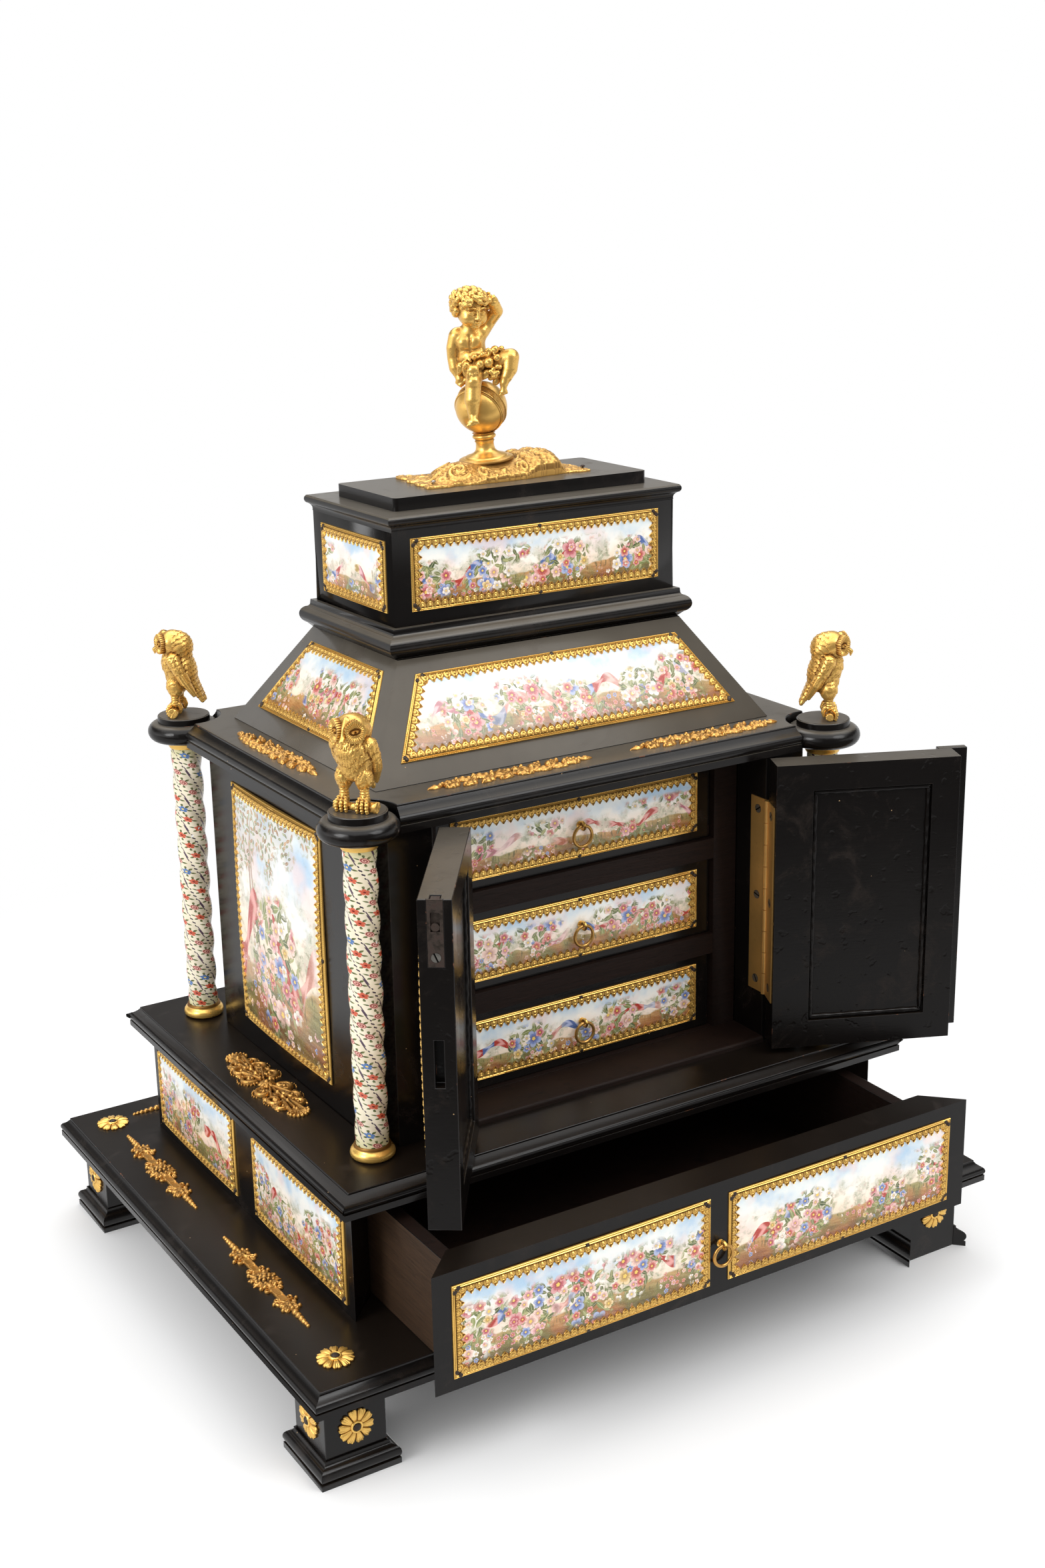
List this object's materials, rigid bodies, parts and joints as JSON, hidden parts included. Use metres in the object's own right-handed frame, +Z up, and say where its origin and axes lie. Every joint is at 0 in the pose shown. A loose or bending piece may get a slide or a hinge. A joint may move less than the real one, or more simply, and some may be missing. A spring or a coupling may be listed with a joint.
{
  "type": "coin cabinet",
  "caption": "Ebonised table cabinet for coins with hinged doors, coin drawers, a wide base drawer, twisted columns, enamel plaques, owls and a gilt finial.",
  "frame": {"origin": "on the floor, under the centre of the plinth", "axes": "+Z up, -Y towards the front with the doors and drawers, +X to the right of someone facing the front"},
  "size_m": [0.42, 0.3828, 0.5395],
  "materials": {
    "ebonised_wood": "black lacquered, glossy, worn at the edges",
    "raw_wood": "raw dark brown",
    "gilt_brass": "stamped and gilded",
    "hinge_brass": "drawn, warm",
    "enamel": "glossy painted enamel",
    "iron": "dark iron with some rust"
  },
  "bodies": {
    "case": {"base_mouldings": "ebonised_wood", "plinth_board": "ebonised_wood", "feet": "ebonised_wood", "rosettes": "gilt_brass", "ledge_mounts": "gilt_brass", "lower_case_boards": "ebonised_wood", "mid_board": "ebonised_wood", "mid_moulding": "ebonised_wood", "case_boards": "ebonised_wood", "case_partitions": "raw_wood", "columns": "enamel", "column_rings": "gilt_brass", "hinge_jamb_leaves": "hinge_brass", "cornice_board": "ebonised_wood", "cornice_moulding": "ebonised_wood", "corner_bosses": "ebonised_wood", "owls": "gilt_brass", "roof_boards": "ebonised_wood", "roof_cap": "ebonised_wood", "attic_boards": "ebonised_wood", "attic_cornice": "ebonised_wood", "top_slab": "ebonised_wood", "case_plaques": "enamel", "case_frames": "gilt_brass", "finial_plate": "gilt_brass", "finial_stand": "gilt_brass", "finial_child": "gilt_brass"},
    "left_door": {"left_door_board": "ebonised_wood", "left_door_plaque": "enamel", "left_door_frame": "gilt_brass", "left_hinge_leaf": "hinge_brass", "flush_bolt_plate": "iron"},
    "right_door": {"right_door_board": "ebonised_wood", "right_door_plaque": "enamel", "right_door_frame": "gilt_brass", "right_hinge_leaf": "hinge_brass", "astragal": "ebonised_wood", "lock_case": "iron"},
    "flush_bolt": {"flush_bolt": "iron"},
    "lock_bolt": {"lock_bolt": "iron"},
    "base_drawer": {"base_drawer_front": "ebonised_wood", "base_drawer_box": "raw_wood", "base_drawer_plaques": "enamel", "base_drawer_gilt": "gilt_brass"},
    "base_ring": {"base_drawer_ring": "gilt_brass"},
    "lower_drawer": {"lower_drawer_front": "ebonised_wood", "lower_drawer_box": "raw_wood", "lower_drawer_plaque": "enamel", "lower_drawer_gilt": "gilt_brass"},
    "lower_ring": {"lower_drawer_ring": "gilt_brass"},
    "middle_drawer": {"middle_drawer_front": "ebonised_wood", "middle_drawer_box": "raw_wood", "middle_drawer_plaque": "enamel", "middle_drawer_gilt": "gilt_brass"},
    "middle_ring": {"middle_drawer_ring": "gilt_brass"},
    "upper_drawer": {"upper_drawer_front": "ebonised_wood", "upper_drawer_box": "raw_wood", "upper_drawer_plaque": "enamel", "upper_drawer_gilt": "gilt_brass"},
    "upper_ring": {"upper_drawer_ring": "gilt_brass"}
  },
  "joints": [
    {"name": "left_door_hinge", "type": "hinge", "parent": "case", "child": "left_door", "pos_m": [-0.101, -0.1078, 0.2169], "axis": [0, 0, -1], "range_deg": [-125, 31]},
    {"name": "right_door_hinge", "type": "hinge", "parent": "case", "child": "right_door", "pos_m": [0.101, -0.1078, 0.2169], "axis": [0, 0, 1], "range_deg": [-156, 0]},
    {"name": "flush_bolt_slide", "type": "slide", "parent": "left_door", "child": "flush_bolt", "axis": [0, 0, 1], "range_m": [0, 0.0045]},
    {"name": "lock_bolt_slide", "type": "slide", "parent": "right_door", "child": "lock_bolt", "axis": [0.9135, -0.4067, 0], "range_m": [0, 0.005]},
    {"name": "base_drawer_slide", "type": "slide", "parent": "case", "child": "base_drawer", "axis": [0, -1, 0], "range_m": [-0.0785, 0.08]},
    {"name": "base_ring_swing", "type": "hinge", "parent": "base_drawer", "child": "base_ring", "pos_m": [0, -0.20635, 0.0856], "axis": [-1, 0, 0], "range_deg": [0, 100]},
    {"name": "lower_drawer_slide", "type": "slide", "parent": "case", "child": "lower_drawer", "axis": [0, -1, 0], "range_m": [0, 0.11]},
    {"name": "lower_ring_swing", "type": "hinge", "parent": "lower_drawer", "child": "lower_ring", "pos_m": [0, -0.0827, 0.1598], "axis": [-1, 0, 0], "range_deg": [0, 100]},
    {"name": "middle_drawer_slide", "type": "slide", "parent": "case", "child": "middle_drawer", "axis": [0, -1, 0], "range_m": [0, 0.11]},
    {"name": "middle_ring_swing", "type": "hinge", "parent": "middle_drawer", "child": "middle_ring", "pos_m": [0, -0.0827, 0.2152], "axis": [-1, 0, 0], "range_deg": [0, 100]},
    {"name": "upper_drawer_slide", "type": "slide", "parent": "case", "child": "upper_drawer", "axis": [0, -1, 0], "range_m": [0, 0.11]},
    {"name": "upper_ring_swing", "type": "hinge", "parent": "upper_drawer", "child": "upper_ring", "pos_m": [0, -0.0827, 0.2706], "axis": [-1, 0, 0], "range_deg": [0, 100]}
  ]
}
